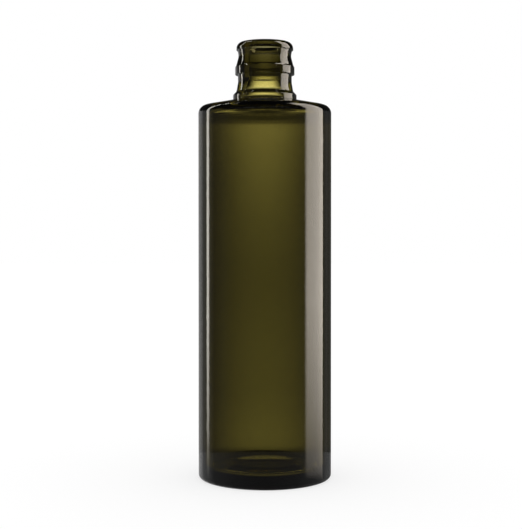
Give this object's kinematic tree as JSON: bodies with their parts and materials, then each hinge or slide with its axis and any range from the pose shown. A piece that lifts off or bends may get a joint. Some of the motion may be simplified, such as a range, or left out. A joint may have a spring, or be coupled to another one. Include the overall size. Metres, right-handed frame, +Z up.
{
  "type": "olive oil bottle",
  "caption": "Empty round olive oil bottle in dark olive green glass: straight body, sloping shoulder, short neck with collar, snap ring and lip for a pourer, open mouth",
  "frame": {"origin": "centre of the foot, on the plane the bottle stands on", "axes": "+Z up along the bottle's axis, from the foot to the mouth; turned shape, so X and Y are alike"},
  "size_m": [0.07, 0.07, 0.2298],
  "materials": {
    "olive_glass": "smooth moulded glass, dark olive green"
  },
  "bodies": {
    "root": {"bottle": "olive_glass"}
  },
  "joints": []
}
